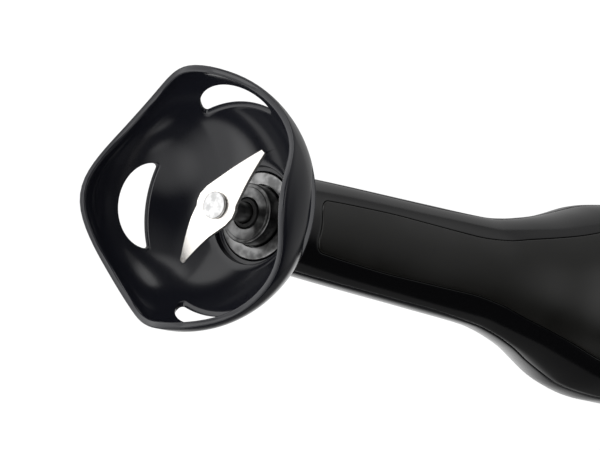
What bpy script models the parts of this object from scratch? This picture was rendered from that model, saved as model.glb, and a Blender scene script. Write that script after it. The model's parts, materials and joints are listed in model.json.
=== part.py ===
"""Immersion blender lying on its back: a domed four-slot blade guard, a slim neck and a motor handle.

The drive axis runs along X, with the guard's mouth towards -X and the handle towards +X. The front panel
and its buttons face +Z. Lengths along the drive axis are measured from the mean plane of the guard's rim,
so every piece is placed under an empty that stands on the axis in that plane.
"""

from math import cos, pi, radians, sin, tau

import bmesh
import bpy

# Driving dimensions, in metres
TOTAL_LENGTH = 0.3835
AXIS_HEIGHT = 0.0354

RIM_RADIUS = 0.0354
RIM_WAVE = 0.0041
RIM_WAVE_SHARP = 0.0004
GUARD_WALL = 0.0024
DOME_DEPTH = 0.0318
DOME_FULLNESS = 1.9
HUB_RADIUS = 0.0142
HUB_END = 0.0332
SPIGOT_RADIUS = 0.0086
SPIGOT_END = 0.050

SLOT_HALF_WIDTH = 0.0126
SLOT_DEPTH = 0.0102
SLOT_HUB_EDGE = 0.0172

SHAFT_RADIUS = 0.0028
BLADE_PLANE = 0.01135
BLADE_THICKNESS = 0.0012
BLADE_ANGLE = radians(37.5)
WING_LENGTH = 0.0194
WING_LIFT = 0.0028
WING_START = 0.0075

SHELL_START = 0.0336
SHELL_END = 0.352
SHELL_WALL = 0.0026
PARTING_GAP = 0.0006
PANEL_START = 0.0435
PANEL_END = 0.338
PANEL_THICKNESS = 0.0012
GAP = 0.0003

MOTOR_RADIUS = 0.0235
BUTTON_FOOT = 0.0243
CIRCUIT_BOARD_Z = 0.017
CIRCUIT_BOARD_THICKNESS = 0.0016
DIAL_HEIGHT = 0.004
GLAND_DROP = 0.0152
DIAL_END = TOTAL_LENGTH - RIM_WAVE - RIM_WAVE_SHARP

# Half-width, front height and back depth of the body at stations along the axis
HALF_WIDTH = [(0.033, 0.0133), (0.060, 0.0144), (0.107, 0.0158), (0.139, 0.0169), (0.150, 0.0182),
              (0.163, 0.0206), (0.175, 0.0233), (0.187, 0.0267), (0.200, 0.0305), (0.215, 0.0323),
              (0.240, 0.0323), (0.290, 0.0306), (0.352, 0.0268)]
FRONT_HEIGHT = [(0.033, 0.0123), (0.060, 0.0116), (0.107, 0.0116), (0.139, 0.0130), (0.150, 0.0145),
                (0.163, 0.0173), (0.175, 0.0200), (0.187, 0.0241), (0.200, 0.0284), (0.215, 0.0301),
                (0.290, 0.0301), (0.352, 0.0256)]
BACK_DEPTH = [(0.033, 0.0141), (0.060, 0.0155), (0.107, 0.0166), (0.139, 0.0173), (0.150, 0.0178),
              (0.163, 0.0194), (0.175, 0.0222), (0.187, 0.0258), (0.200, 0.0290), (0.215, 0.0320),
              (0.235, 0.0350), (0.250, 0.0364), (0.290, 0.0364), (0.352, 0.0286)]
SQUARENESS = [(0.033, 2.0), (0.140, 2.0), (0.200, 2.25), (0.352, 2.4)]
PANEL_HALF_WIDTH = [(0.044, 0.0070), (0.060, 0.0078), (0.085, 0.0085), (0.122, 0.0085), (0.139, 0.0097),
                    (0.150, 0.0117), (0.163, 0.0142), (0.175, 0.0168), (0.190, 0.0209), (0.215, 0.0248),
                    (0.260, 0.0256), (0.310, 0.0228), (0.338, 0.0180)]

# Angle of the parting line above the body's middle plane, in degrees: it swoops down round the shoulder
PARTING = [(0.033, 13.8), (0.107, 13.7), (0.139, 8.2), (0.150, 5.6), (0.163, 1.0), (0.178, -6.0),
           (0.190, -5.0), (0.200, 4.0), (0.215, 15.0), (0.230, 18.0)]


def smooth(points, t):
    """Value at t of the smooth curve through the points, level beyond its ends."""
    if t <= points[0][0]:
        return points[0][1]
    if t >= points[-1][0]:
        return points[-1][1]
    i = max(k for k in range(len(points) - 1) if points[k][0] <= t)
    slopes = [(b[1] - a[1]) / (b[0] - a[0]) for a, b in zip(points, points[1:])]

    def tangent(k):
        if k in (0, len(points) - 1):
            return slopes[min(k, len(slopes) - 1)]
        before, after = slopes[k - 1], slopes[k]
        return 0 if before * after <= 0 else 2 * before * after / (before + after)

    span = points[i + 1][0] - points[i][0]
    u = (t - points[i][0]) / span
    start = (2 * u**3 - 3 * u**2 + 1) * points[i][1] + (u**3 - 2 * u**2 + u) * span * tangent(i)
    end = (3 * u**2 - 2 * u**3) * points[i + 1][1] + (u**3 - u**2) * span * tangent(i + 1)
    return start + end


# Scene and helpers
def clear_scene():
    for obj in list(bpy.data.objects):
        bpy.data.objects.remove(obj, do_unlink=True)
    for collection in list(bpy.data.collections):
        bpy.data.collections.remove(collection)


def new_collection(name, hidden=False):
    collection = bpy.data.collections.new(name)
    collection.hide_render = hidden
    bpy.context.scene.collection.children.link(collection)
    return collection


def new_empty(name, parent=None, location=(0, 0, 0)):
    empty = bpy.data.objects.new(name, None)
    empty.parent = parent
    empty.location = location
    empty.empty_display_size = 0.02
    PARTS.objects.link(empty)
    return empty


def material(name, color, roughness, metallic=0.0):
    made = bpy.data.materials.new(name)
    made.use_nodes = True
    shader = made.node_tree.nodes["Principled BSDF"]
    shader.inputs["Base Color"].default_value = (*color, 1)
    shader.inputs["Roughness"].default_value = roughness
    shader.inputs["Metallic"].default_value = metallic
    return made


def place(name, mesh, look, parent, location=(0, 0, 0), rotation=(0, 0, 0)):
    """A part, or a cutter where look is None, under its parent."""
    obj = bpy.data.objects.new(name, mesh)
    obj.parent = parent
    obj.location = location
    obj.rotation_euler = rotation
    if look is None:
        obj.hide_render = True
        obj.display_type = "WIRE"
        CUTTERS.objects.link(obj)
    else:
        mesh.materials.append(look)
        PARTS.objects.link(obj)
    return obj


def boolean(obj, cutters, operation="DIFFERENCE"):
    """One Boolean with a cutter, or with several at once through a collection of their own."""
    several = isinstance(cutters, list)
    modifier = obj.modifiers.new(operation.title(), "BOOLEAN")
    modifier.operation = operation
    modifier.solver = "EXACT"
    if several:
        group = bpy.data.collections.new(f"{obj.name}_{operation.lower()}")
        CUTTERS.children.link(group)
        for cutter in cutters:
            group.objects.link(cutter)
        modifier.operand_type = "COLLECTION"
        modifier.collection = group
    else:
        modifier.object = cutters


def mesh_from(bm, name, smooth_angle=None):
    mesh = bpy.data.meshes.new(name)
    bm.to_mesh(mesh)
    bm.free()
    if smooth_angle:
        mesh.shade_smooth()
        mesh.set_sharp_from_angle(angle=smooth_angle)
    return mesh


def turned(name, profile, look, parent, y=0, z=0, steps=24):
    """A profile of (distance along the axis, radius) points spun about a line along X at y, z."""
    closed = all(radius > 0 for _, radius in profile)
    loop = zip(profile, profile[1:] + profile[:1])
    area = sum(a[1] * b[0] - b[1] * a[0] for a, b in loop)
    points = profile if area < 0 else profile[::-1]
    count = len(points)
    edges = [(i, (i + 1) % count) for i in range(count if closed else count - 1)]
    mesh = bpy.data.meshes.new(name)
    mesh.from_pydata([(radius, 0, t) for t, radius in points], edges, [])
    obj = place(name, mesh, look, parent, (0, y, z), (0, pi / 2, 0))
    screw = obj.modifiers.new("Turn", "SCREW")
    screw.axis = "Z"
    screw.angle = tau
    screw.steps = screw.render_steps = steps
    screw.use_merge_vertices = True
    screw.merge_threshold = 0.00001
    screw.use_smooth_shade = True
    return obj


def tube(name, inner, outer, start, end, look, parent, **options):
    profile = [(start, inner), (start, outer), (end, outer), (end, inner)]
    return turned(name, profile, look, parent, **options)


def disc(name, radius, start, end, look, parent, **options):
    profile = [(start, 0), (start, radius), (end, radius), (end, 0)]
    return turned(name, profile, look, parent, **options)


def block(name, size, location, look, parent, edge=0.0):
    bm = bmesh.new()
    bmesh.ops.create_cube(bm, size=1)
    bmesh.ops.scale(bm, vec=size, verts=bm.verts)
    obj = place(name, mesh_from(bm, name), look, parent, location)
    if edge:
        bevel = obj.modifiers.new("Edge", "BEVEL")
        bevel.width = edge
        bevel.segments = 2
    return obj


def plate(name, outline, thickness, look, parent, location=(0, 0, 0), rotation=(0, 0, 0)):
    """A flat outline in the local XY plane, centred on it in thickness."""
    curve = bpy.data.curves.new(name, "CURVE")
    curve.dimensions = "2D"
    curve.fill_mode = "BOTH"
    curve.extrude = thickness / 2
    spline = curve.splines.new("POLY")
    spline.points.add(len(outline) - 1)
    for point, (x, y) in zip(spline.points, outline):
        point.co = (x, y, 0, 1)
    spline.use_cyclic_u = True
    sketch = bpy.data.objects.new(name + "_sketch", curve)
    PARTS.objects.link(sketch)
    bpy.context.view_layer.update()
    graph = bpy.context.evaluated_depsgraph_get()
    mesh = bpy.data.meshes.new_from_object(sketch.evaluated_get(graph))
    bpy.data.objects.remove(sketch, do_unlink=True)
    bm = bmesh.new()
    bm.from_mesh(mesh)
    bmesh.ops.remove_doubles(bm, verts=bm.verts, dist=0.000001)
    bmesh.ops.recalc_face_normals(bm, faces=bm.faces)
    return place(name, mesh_from(bm, name), look, parent, location, rotation)


def skin(name, rows, wall, look, parent, proud=0.0):
    """A surface through rows of points, thickened inwards by a wall and outwards by what stands proud."""
    bm = bmesh.new()
    grid = [[bm.verts.new(point) for point in row] for row in rows]
    for low, high in zip(grid, grid[1:]):
        for j in range(len(low) - 1):
            bm.faces.new((low[j], low[j + 1], high[j + 1], high[j]))
    obj = place(name, mesh_from(bm, name, radians(40)), look, parent)
    solidify = obj.modifiers.new("Wall", "SOLIDIFY")
    solidify.thickness = wall + proud
    solidify.offset = 2 * proud / (wall + proud) - 1
    solidify.use_even_offset = True
    return obj


def rounded_rectangle(length, width, radius, steps=4):
    """Outline of a rectangle with arcs for corners, centred on the origin."""
    points = []
    for quarter, (x, y) in enumerate([(1, 1), (-1, 1), (-1, -1), (1, -1)]):
        for step in range(steps + 1):
            angle = (quarter + step / steps) * pi / 2
            points.append((x * (length / 2 - radius) + radius * cos(angle),
                           y * (width / 2 - radius) + radius * sin(angle)))
    return points


# The body's outer form
def section_point(t, angle, inset=0.0):
    """Point of the outer skin at a polar angle from +Y towards +Z, level on the resting plane."""
    half = smooth(HALF_WIDTH, t) - inset
    height = smooth(FRONT_HEIGHT if sin(angle) >= 0 else BACK_DEPTH, t) - inset
    power = smooth(SQUARENESS, t)
    radius = (abs(cos(angle) / half) ** power + abs(sin(angle) / height) ** power) ** (-1 / power)
    return (t, radius * cos(angle), max(radius * sin(angle), -AXIS_HEIGHT + inset))


def front_height(t, y):
    """Height of the front skin over the axis at a distance y to the side."""
    half, height, power = smooth(HALF_WIDTH, t), smooth(FRONT_HEIGHT, t), smooth(SQUARENESS, t)
    return height * (1 - (abs(y) / half) ** power) ** (1 / power)


def stations(start, end):
    """Places along the body: sparse on its straight runs and close where it swells."""
    inner = [0.060, 0.085, 0.115, 0.135, 0.145, 0.153, 0.161, 0.169, 0.177, 0.186, 0.193, 0.200, 0.208,
             0.220, 0.238, 0.290, 0.310, 0.332]
    return [start] + [t for t in inner if start + 0.003 < t < end - 0.003] + [end]


def half_skin(front, columns):
    """Rows of points for the front or the back shell, held back from the parting line by half its gap.

    A narrow column of faces runs along each edge, so that both walls turn inwards alike there.
    """
    rows = []
    for t in stations(SHELL_START, SHELL_END):
        parting = radians(smooth(PARTING, t))
        back_off = PARTING_GAP / 2 / smooth(HALF_WIDTH, t)
        low, high = (parting, pi - parting) if front else (pi - parting, tau + parting)
        low, high = low + back_off, high - back_off
        shares = [0, 0.012] + [j / columns for j in range(1, columns)] + [0.988, 1]
        rows.append([section_point(t, low + (high - low) * share) for share in shares])
    return rows


def panel_rows(grow=0.0):
    """Rows of points across the front panel, narrowed to rounded ends."""
    rows = []
    corner = 0.004
    start, end = PANEL_START - grow, PANEL_END + grow
    ends = [0, 0.0006, 0.0018, corner]
    places = [start + e for e in ends] + stations(start + corner, end - corner)[1:-1]
    places += [end - e for e in reversed(ends)]
    for t in places:
        from_end = min(t - start, end - t, corner)
        pulled_in = corner - (corner**2 - (corner - from_end) ** 2) ** 0.5
        half = smooth(PANEL_HALF_WIDTH, t) + grow - pulled_in
        across = [half * (j / 5 - 1) for j in range(11)]
        rows.append([(t, -y, front_height(t, y)) for y in across])
    return rows


# Guard
def guard_profile():
    """Closed outline of the guard's wall, hub and spigot, from the rim round to its inside.

    The dome is a superellipse, a little slacker than an ellipse.
    """
    outer = [(-0.006, RIM_RADIUS)]
    inner = [(-0.006, RIM_RADIUS - GUARD_WALL)]
    inner_depth, inner_radius = DOME_DEPTH - GUARD_WALL, RIM_RADIUS - GUARD_WALL
    for step in range(8):
        angle = radians(64) * step / 7
        along, across = sin(angle) ** (2 / DOME_FULLNESS), cos(angle) ** (2 / DOME_FULLNESS)
        outer.append((DOME_DEPTH * along, RIM_RADIUS * across))
        inner.append((inner_depth * along, inner_radius * across))
    hub = [(HUB_END - 0.0012, HUB_RADIUS), (HUB_END, HUB_RADIUS - 0.0012), (HUB_END, SPIGOT_RADIUS),
           (SPIGOT_END - 0.0008, SPIGOT_RADIUS), (SPIGOT_END, SPIGOT_RADIUS - 0.0008), (SPIGOT_END, 0.0064),
           (0.0311, 0.0064), (0.0311, 0.0125), (0.0280, 0.0125)]
    return outer + hub + inner[::-1]


def scallop_cutter(parent, steps):
    """A cylinder in front of the guard, whose end face carries the rim's four waves."""
    bm = bmesh.new()
    radius, depth = 0.045, 0.030
    bmesh.ops.create_cone(bm, cap_ends=True, cap_tris=True, segments=steps, radius1=radius, radius2=radius,
                          depth=depth)
    mean_radius = RIM_RADIUS - GUARD_WALL / 2
    for vert in bm.verts:
        if vert.co.z > 0 and vert.co.xy.length > radius / 2:
            angle = vert.co.xy.angle_signed((1, 0))
            wave = RIM_WAVE * cos(4 * angle) + RIM_WAVE_SHARP * cos(8 * angle)
            vert.co.z -= wave * radius / mean_radius
    mesh = mesh_from(bm, "rim_scallops")
    return place("rim_scallops", mesh, None, parent, (-depth / 2, 0, 0), (0, pi / 2, 0))


def slot_outline():
    """Half-moon with its straight edge towards the hub: local X runs from the rim to the hub."""
    arch = []
    for step in range(11):
        angle = pi * step / 10
        arch.append((-SLOT_DEPTH * sin(angle), SLOT_HALF_WIDTH * cos(angle)))
    corner = 0.0011
    first, last = arch[0], arch[-1]
    arch[0] = (-corner, first[1] - 0.0001)
    arch[-1] = (-corner, last[1] + 0.0001)
    return [(0, first[1] - corner)] + arch + [(0, last[1] + corner)]


def make_guard(parent):
    steps = 56
    guard = turned("guard", guard_profile(), BLACK_GLOSS, parent, steps=steps)
    cutters = [scallop_cutter(parent, steps)]
    reach = 0.024
    for index in range(4):
        turn = new_empty(f"slot_turn_{index + 1}", parent)
        turn.rotation_euler = (index * pi / 2, 0, 0)
        location = (SLOT_HUB_EDGE, 0, RIM_RADIUS - 0.003)
        cutters.append(plate(f"slot_{index + 1}", slot_outline(), reach, None, turn, location))
    boolean(guard, cutters)


def make_hub(parent):
    """Steel ring, bearing cap, lip seal and bush where the shaft enters the guard."""
    tube("hub_ring", 0.0087, 0.0122, 0.0292, 0.0307, STEEL, parent, steps=36)
    cap = [(0.0243, 0.0044), (0.0243, 0.0079), (0.02475, 0.00835), (0.0307, 0.00835), (0.0307, 0.0070),
           (0.0258, 0.0070), (0.0258, 0.0044)]
    turned("bearing_cap", cap, STEEL, parent, steps=36)
    seal = [(0.0236, 0.0030), (0.0240, 0.0040), (0.0262, 0.0040), (0.0262, 0.0066), (0.0290, 0.0066),
            (0.0290, 0.0030)]
    turned("shaft_seal", seal, RUBBER, parent)
    bush = [(0.0315, 0.0030), (0.0315, 0.0058), (0.0320, 0.0061), (0.0440, 0.0061), (0.0440, 0.0030)]
    turned("lower_bearing", bush, BRONZE, parent)


# Rotating pieces
def blade_outline():
    """Two tapered wings with blunt tips, alike when turned half a turn."""
    half = [(WING_LENGTH, -0.0009), (WING_LENGTH, 0.0009), (WING_START, 0.0041), (0.0041, 0.0050),
            (0.0030, 0.0060), (0.0010, 0.0067), (-0.0019, 0.0065), (-WING_START, 0.0047)]
    return half + [(-x, -y) for x, y in half]


def make_blade(parent):
    """A flat plate whose wings bend away from the mouth, riveted to the shaft."""
    blade = plate("blade", blade_outline(), BLADE_THICKNESS, BLADE_STEEL, parent)
    slope = WING_LIFT / (WING_LENGTH - WING_START)
    bm = bmesh.new()
    bm.from_mesh(blade.data)
    for side in (1, -1):
        everything = bm.verts[:] + bm.edges[:] + bm.faces[:]
        bmesh.ops.bisect_plane(bm, geom=everything, dist=0.000001, plane_co=(side * WING_START, 0, 0),
                               plane_no=(1, 0, 0))
    for vert in bm.verts:
        vert.co.z += slope * max(abs(vert.co.x) - WING_START, 0)
    bm.to_mesh(blade.data)
    bm.free()
    mount = new_empty("blade_mount", parent, (BLADE_PLANE + BLADE_THICKNESS / 2, 0, 0))
    mount.rotation_euler = (BLADE_ANGLE, 0, 0)
    blade.parent = mount
    blade.rotation_euler = (pi / 2, 0, pi / 2)
    hole = disc("blade_hole", 0.0022, -0.004, 0.004, None, mount, steps=16)
    boolean(blade, hole)


def make_rivet(parent):
    head = BLADE_PLANE - GAP
    profile = [(head - 0.0010, 0), (head - 0.0009, 0.0026), (head - 0.0004, 0.0036), (head, 0.0037),
               (head, 0.0019), (0.0134, 0.0019), (0.0134, 0)]
    turned("blade_rivet", profile, STEEL, parent)


def make_drive_line(parent):
    shaft = [(0.0137, 0), (0.0137, 0.0024), (0.0141, SHAFT_RADIUS), (0.170, SHAFT_RADIUS), (0.170, 0)]
    turned("drive_shaft", shaft, STEEL, parent)
    tube("retaining_clip", 0.0031, 0.0050, 0.0444, 0.0454, STEEL, parent, steps=16)
    lower = [(0.1580, 0.0031), (0.1580, 0.0080), (0.1720, 0.0080), (0.1720, 0.0031)]
    turned("shaft_coupling", lower, NYLON, parent)
    upper = [(0.1723, 0.0028), (0.1723, 0.0080), (0.1780, 0.0080), (0.1780, 0.0055), (0.1820, 0.0055),
             (0.1820, 0.0028)]
    turned("motor_coupling", upper, NYLON, parent)
    disc("motor_shaft", 0.0025, 0.1730, 0.2770, STEEL, parent)


def make_fan(parent):
    """Hub, back disc and straight blades, joined to one piece."""
    fan = turned("cooling_fan", [(0.1920, 0.0028), (0.1920, 0.0060), (0.1985, 0.0060), (0.1985, 0.0200),
                                 (0.1997, 0.0200), (0.1997, 0.0028)], NYLON, parent)
    count = 10
    bm = bmesh.new()
    for index in range(count):
        vane = bmesh.ops.create_cube(bm, size=1)["verts"]
        bmesh.ops.scale(bm, vec=(0.0060, 0.0012, 0.0152), verts=vane)
        bmesh.ops.translate(bm, vec=(0.1958, 0, 0.0127), verts=vane)
        turn = index * tau / count
        for vert in vane:
            y, z = vert.co.y, vert.co.z
            vert.co.y = y * cos(turn) - z * sin(turn)
            vert.co.z = y * sin(turn) + z * cos(turn)
    vanes = place("fan_vanes", mesh_from(bm, "fan_vanes"), None, parent)
    boolean(fan, vanes, "UNION")


def make_armature(parent):
    tube("armature_core", 0.0028, 0.0150, 0.2070, 0.2390, LAMINATION, parent)
    tube("commutator", 0.0028, 0.0090, 0.2490, 0.2620, COPPER, parent)


# Motor's fixed pieces
def make_motor(parent):
    tube("stator_core", 0.0208, MOTOR_RADIUS, 0.2075, 0.2385, LAMINATION, parent, steps=32)
    for index, side in enumerate((1, -1)):
        coil = tube(f"field_coil_{index + 1}", 0.0156, 0.0204, 0.2035, 0.2445, COPPER, parent, steps=32)
        keep = block(f"coil_side_{index + 1}", (0.06, 0.030, 0.06), (0.224, side * 0.0195, 0), None, parent)
        boolean(coil, keep, "INTERSECT")
    bracket = [(0.1850, 0.0046), (0.1850, 0.0195), (0.1880, 0.0195), (0.1880, 0.0046)]
    turned("motor_front_bracket", bracket, ALUMINIUM, parent, steps=32)
    tube("motor_front_bearing", 0.0027, 0.0043, 0.1835, 0.1895, BRONZE, parent)
    yoke = block("motor_rear_bracket", (0.003, 0.046, 0.018), (0.2675, 0, 0), ALUMINIUM, parent)
    boolean(yoke, disc("bearing_hole", 0.0046, 0.260, 0.275, None, parent))
    tube("motor_rear_bearing", 0.0027, 0.0043, 0.2650, 0.2700, BRONZE, parent)
    for index, side in enumerate((1, -1)):
        center = (0.2555, side * 0.0172, 0)
        holder = block(f"brush_holder_{index + 1}", (0.010, 0.0130, 0.010), center, BRASS, parent)
        channel = block(f"brush_channel_{index + 1}", (0.0066, 0.02, 0.0066), center, None, parent)
        boolean(holder, channel)
        brush = (0.2555, side * 0.0150, 0)
        block(f"carbon_brush_{index + 1}", (0.0060, 0.0110, 0.0060), brush, CARBON, parent)


# Electrical pieces
def make_electrics(parent):
    board_size = (0.052, 0.026, CIRCUIT_BOARD_THICKNESS)
    block("circuit_board", board_size, (0.276, 0, CIRCUIT_BOARD_Z), BOARD, parent)
    top = CIRCUIT_BOARD_Z + CIRCUIT_BOARD_THICKNESS / 2
    for name, t in (("power_switch", 0.262), ("turbo_switch", 0.288)):
        block(name, (0.0062, 0.0062, 0.0030), (t, 0, top + GAP + 0.0015), DARK_PLASTIC, parent, 0.0003)
    block("suppressor_capacitor", (0.018, 0.0066, 0.014), (0.318, 0, 0.013), CAPACITOR_BLUE, parent, 0.0008)
    block("terminal_block", (0.012, 0.016, 0.010), (0.322, 0, -0.010), NYLON, parent, 0.0006)
    pot = [(0.3450, 0), (0.3450, 0.0080), (0.3520, 0.0080), (0.3520, 0.0036), (0.3560, 0.0036),
           (0.3560, 0)]
    turned("speed_potentiometer", pot, STEEL, parent, z=DIAL_HEIGHT)


# Buttons and dial
def button(name, t, length, width, parent):
    """A rounded key through the front, with a wider foot inside that holds it in."""
    mount = new_empty(name + "_axis", parent, (t, 0, 0))
    crown = front_height(t, 0) + 0.0016
    key = plate(name, rounded_rectangle(length, width, width / 2 - 0.0005), crown - BUTTON_FOOT, BUTTON_GREY,
                mount, (0, 0, (crown + BUTTON_FOOT) / 2))
    wide = plate(name + "_foot", rounded_rectangle(length + 0.002, width + 0.002, width / 2), 0.0012, None,
                 mount, (0, 0, BUTTON_FOOT + 0.0006))
    boolean(key, wide, "UNION")
    opening = plate(name + "_opening", rounded_rectangle(length + 0.0008, width + 0.0008, width / 2 - 0.0001),
                    0.012, None, mount, (0, 0, crown - 0.003))
    return mount, opening


def button_spring(name, mount):
    """A wire coil between the circuit board and the button's foot."""
    low = CIRCUIT_BOARD_Z + CIRCUIT_BOARD_THICKNESS / 2 + GAP
    high = BUTTON_FOOT - GAP
    wire, radius, turns, per_turn = 0.00025, 0.0054, 3, 10
    count = int(turns * per_turn)
    curve = bpy.data.curves.new(name, "CURVE")
    curve.dimensions = "3D"
    curve.bevel_depth = wire
    curve.bevel_resolution = 1
    curve.use_fill_caps = True
    spline = curve.splines.new("POLY")
    spline.points.add(count)
    for step, point in enumerate(spline.points):
        angle = tau * step / per_turn
        rise = low + wire + (high - low - 2 * wire) * step / count
        point.co = (radius * cos(angle), radius * sin(angle), rise, 1)
    place(name, curve, STEEL, mount)


def make_dial(parent):
    """A knob on the end cap with a pointer flat, and the spindle that it turns."""
    rim = 0.3708
    dial = [(rim, 0), (rim, 0.0112), (rim + 0.0006, 0.0118), (DIAL_END - 0.0010, 0.0112),
            (DIAL_END, 0.0102), (DIAL_END, 0)]
    knob = turned("speed_dial", dial, BUTTON_GREY, parent, steps=36)
    notch = block("dial_pointer", (0.0012, 0.0012, 0.0080), (DIAL_END, 0, 0.0080), None, parent)
    boolean(knob, notch)
    disc("dial_spindle", 0.0028, 0.3563, rim - GAP, STEEL, parent)


# Casing
def make_shells(parent):
    front = skin("front_shell", half_skin(True, 18), SHELL_WALL, BLACK_GLOSS, parent)
    rear = skin("rear_shell", half_skin(False, 22), SHELL_WALL, GRAPHITE_GLOSS, parent)
    panel = skin("front_panel", panel_rows(), PANEL_THICKNESS, SOFT_TOUCH, parent, proud=0.0001)
    recess = skin("panel_recess", panel_rows(GAP), PANEL_THICKNESS + GAP, None, parent, proud=0.0012)
    boolean(front, recess)
    return front, rear, panel


def make_screws(parent, front, rear):
    """Four screws from the back into pillars of the front shell. Returns the cutters of their holes."""
    places = [(t, side * 0.009) for t in (0.306, 0.336) for side in (1, -1)]
    rear_bosses, front_bosses, rear_holes, front_holes = [], [], [], []
    for index, (t, y) in enumerate(places):
        label = index + 1
        mount = new_empty(f"screw_axis_{label}", parent, (t, y, 0))
        mount.rotation_euler = (0, -pi / 2, 0)
        depth = -section_point(t, -pi / 2)[2]
        seat = 0.0075 - depth
        pillar_top = front_height(t, abs(y) + 0.0035) - 0.0020
        boss_foot = -0.0277 if t > 0.32 else -0.0306
        rear_bosses.append(disc(f"rear_boss_{label}", 0.0048, boss_foot, 0.0010, None, mount, steps=20))
        front_bosses.append(disc(f"front_boss_{label}", 0.0036, 0.0014, pillar_top, None, mount, steps=20))
        hole = [(-depth - 0.002, 0), (-depth - 0.002, 0.0034), (seat, 0.0034), (seat, 0.0019),
                (0.004, 0.0019), (0.004, 0)]
        rear_holes.append(turned(f"screw_hole_{label}", hole, None, mount, steps=20))
        front_holes.append(disc(f"pilot_hole_{label}", 0.0017, -0.002, 0.0125, None, mount, steps=20))
        screw = [(seat - GAP - 0.0022, 0), (seat - GAP - 0.0022, 0.0024), (seat - GAP - 0.0016, 0.0030),
                 (seat - GAP, 0.0030), (seat - GAP, 0.0014), (0.0115, 0.0014), (0.0115, 0)]
        turned(f"shell_screw_{label}", screw, STEEL, mount, steps=16)
    boolean(rear, rear_bosses, "UNION")
    boolean(front, front_bosses, "UNION")
    return front_holes, rear_holes


def vent_cutters(parent):
    """Cooling slots across the back of the handle, between the screws."""
    size = (0.0016, 0.014, 0.012)
    return [block(f"vent_{i + 1}", size, (0.3155 + i * 0.0035, 0, -0.0325), None, parent) for i in range(4)]


def make_end_cap(parent):
    """A closed rounded cap with openings for the dial's spindle and the cord gland."""
    bm = bmesh.new()
    base, count = SHELL_END + GAP, 32
    rise = 0.0182
    rings = []
    for step in range(6):
        angle = pi / 2 * step / 5 * 0.86
        inset = 0.0085 * (1 - cos(angle))
        t = base + rise * sin(angle) / sin(pi / 2 * 0.86)
        ring = [section_point(SHELL_END, tau * j / count, inset) for j in range(count)]
        rings.append([bm.verts.new((t, y, z)) for _, y, z in ring])
    for low, high in zip(rings, rings[1:]):
        for j in range(count):
            k = (j + 1) % count
            bm.faces.new((low[j], low[k], high[k], high[j]))
    bm.faces.new(rings[-1])
    cap = place("end_cap", mesh_from(bm, "end_cap", radians(40)), BLACK_GLOSS, parent)
    solidify = cap.modifiers.new("Wall", "SOLIDIFY")
    solidify.thickness = 0.0022
    solidify.offset = -1
    solidify.use_even_offset = True
    boolean(cap, disc("spindle_hole", 0.0034, 0.360, 0.375, None, parent, z=DIAL_HEIGHT))
    boolean(cap, disc("gland_hole", 0.0058, 0.360, 0.375, None, parent, z=-GLAND_DROP))
    gland = [(0.3660, 0.0034), (0.3660, 0.0055), (0.3708, 0.0055), (0.3708, 0.0064), (0.3720, 0.0066),
             (0.3770, 0.0056), (0.3770, 0.0034)]
    turned("cord_gland", gland, RUBBER, parent, z=-GLAND_DROP)


def make_neck_bearing(parent):
    tube("bearing_carrier", 0.0053, 0.0084, 0.1010, 0.1070, DARK_PLASTIC, parent)
    tube("neck_bearing", 0.0030, 0.0050, 0.1000, 0.1080, BRONZE, parent)


clear_scene()
PARTS = new_collection("immersion_blender")
CUTTERS = new_collection("cutters", hidden=True)

BLACK_GLOSS = material("black_gloss_plastic", (0.012, 0.012, 0.014), 0.12)
GRAPHITE_GLOSS = material("graphite_gloss_plastic", (0.05, 0.05, 0.055), 0.2)
SOFT_TOUCH = material("soft_touch_black", (0.022, 0.022, 0.021), 0.45)
BUTTON_GREY = material("button_grey", (0.09, 0.09, 0.095), 0.4)
DARK_PLASTIC = material("dark_plastic", (0.03, 0.03, 0.03), 0.5)
NYLON = material("white_nylon", (0.7, 0.68, 0.62), 0.5)
RUBBER = material("rubber", (0.02, 0.02, 0.02), 0.7)
STEEL = material("steel", (0.55, 0.55, 0.55), 0.25, 1.0)
BLADE_STEEL = material("blade_steel", (0.72, 0.71, 0.69), 0.2, 1.0)
BRONZE = material("sintered_bronze", (0.45, 0.30, 0.16), 0.4, 1.0)
BRASS = material("brass", (0.65, 0.5, 0.2), 0.3, 1.0)
COPPER = material("copper", (0.72, 0.33, 0.16), 0.35, 1.0)
ALUMINIUM = material("aluminium", (0.62, 0.62, 0.63), 0.4, 1.0)
LAMINATION = material("lamination_steel", (0.2, 0.2, 0.22), 0.5, 1.0)
CARBON = material("carbon", (0.03, 0.03, 0.035), 0.6)
BOARD = material("circuit_board_green", (0.03, 0.16, 0.06), 0.5)
CAPACITOR_BLUE = material("capacitor_blue", (0.08, 0.2, 0.45), 0.4)

rim_plane = new_empty("rim_plane", location=(RIM_WAVE + RIM_WAVE_SHARP - TOTAL_LENGTH / 2, 0, AXIS_HEIGHT))
rotor_axis = new_empty("rotor_axis", rim_plane)
dial_axis = new_empty("dial_axis", rim_plane, (0, 0, DIAL_HEIGHT))

make_guard(rim_plane)
make_hub(rim_plane)
make_neck_bearing(rim_plane)
make_blade(rotor_axis)
make_rivet(rotor_axis)
make_drive_line(rotor_axis)
make_fan(rotor_axis)
make_armature(rotor_axis)
make_motor(rim_plane)
make_electrics(rim_plane)
front_shell, rear_shell, front_panel = make_shells(rim_plane)
pilot_holes, screw_holes = make_screws(rim_plane, front_shell, rear_shell)
openings = []
for button_name, place_t, key_length, key_width in (("power_button", 0.262, 0.019, 0.015),
                                                    ("turbo_button", 0.288, 0.015, 0.013)):
    button_mount, button_opening = button(button_name, place_t, key_length, key_width, rim_plane)
    button_spring(button_name + "_spring", button_mount)
    openings.append(button_opening)
boolean(front_panel, openings)
boolean(front_shell, pilot_holes + openings)
boolean(rear_shell, screw_holes + vent_cutters(rim_plane))
make_dial(dial_axis)
make_end_cap(rim_plane)
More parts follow.
